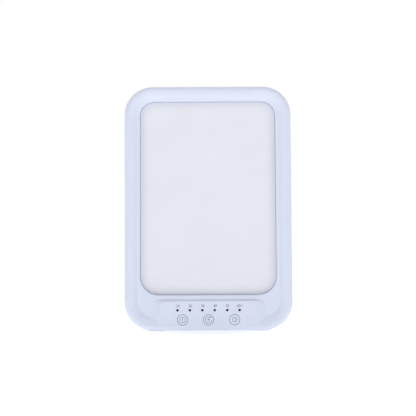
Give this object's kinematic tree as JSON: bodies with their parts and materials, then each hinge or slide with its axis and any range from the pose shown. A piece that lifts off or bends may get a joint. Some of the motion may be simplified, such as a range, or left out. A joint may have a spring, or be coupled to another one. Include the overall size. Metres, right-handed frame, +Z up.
{
  "type": "light therapy lamp",
  "caption": "Leaning rectangular light therapy lamp with a flat opal panel in a dished frame, a touch-key chin and a fold-out rear stand.",
  "frame": {"origin": "centre of the overall footprint at table height, with the stand open", "axes": "+Z up from the table, +X to the lamp's own left-to-right as seen from the front, +Y from the lit face towards the stand"},
  "size_m": [0.165, 0.1026, 0.2327],
  "materials": {
    "case_front": "fine matte moulded ABS, cool white",
    "case_back": "fine matte moulded ABS, cool white",
    "case_stand": "fine matte moulded ABS, cool white",
    "opal_panel": "satin opal acrylic",
    "clear_acrylic": "polished clear acrylic with a dotted back",
    "white_film": "matte white film",
    "circuit_white": "white solder mask",
    "circuit_green": "green solder mask",
    "led_chip": "yellow phosphor in a white package",
    "pressed_aluminium": "plain pressed sheet",
    "zinc_screw": "zinc plated",
    "black_screw": "black oxide",
    "foam": "black closed-cell foam",
    "conductive_foam": "conductive foam",
    "smoked_lens": "dark tinted light pipe",
    "black_package": "moulded black package",
    "ferrite": "sintered ferrite",
    "capacitor_can": "bare aluminium can",
    "socket_nylon": "natural nylon",
    "lead_insulation": "PVC insulation",
    "inlet_black": "black thermoplastic",
    "inlet_contact": "plated contact",
    "nickel_nut": "bright nickel",
    "steel_pin": "ground steel",
    "spring_steel": "blackened spring steel",
    "washer_nylon": "natural nylon",
    "grey_rubber": "soft grey rubber"
  },
  "bodies": {
    "case": {"front_bezel": "case_front", "diffuser_gasket": "foam", "diffuser": "opal_panel", "light_guide": "clear_acrylic", "reflector_sheet": "white_film", "led_strip_left": "circuit_white", "led_strip_right": "circuit_white", "led_chips_left": "led_chip", "led_chips_right": "led_chip", "light_tray": "pressed_aluminium", "tray_screws": "zinc_screw", "control_board": "circuit_green", "control_board_screws": "zinc_screw", "touch_pad_power": "conductive_foam", "touch_pad_timer": "conductive_foam", "touch_pad_brightness": "conductive_foam", "indicator_lens": "smoked_lens", "indicator_leds": "led_chip", "control_chip": "black_package", "driver_inductor": "ferrite", "driver_capacitor": "capacitor_can", "board_connectors": "socket_nylon", "jack_leads": "lead_insulation", "strip_leads": "lead_insulation", "back_cover": "case_back", "dc_jack": "inlet_black", "dc_jack_pin": "inlet_contact", "dc_jack_nut": "nickel_nut", "hinge_pin": "steel_pin", "hinge_clip_left": "spring_steel", "hinge_clip_right": "spring_steel", "hinge_washer_left": "washer_nylon", "hinge_washer_right": "washer_nylon", "rubber_foot_left": "grey_rubber", "rubber_foot_right": "grey_rubber", "case_screws": "black_screw"},
    "stand": {"stand_leg": "case_stand", "stand_foot_pad": "grey_rubber"}
  },
  "joints": [
    {"name": "stand_hinge", "type": "hinge", "parent": "case", "child": "stand", "pos_m": [0, 0.02498, 0.1623], "axis": [1, 0, 0], "range_deg": [-28, 0]}
  ]
}
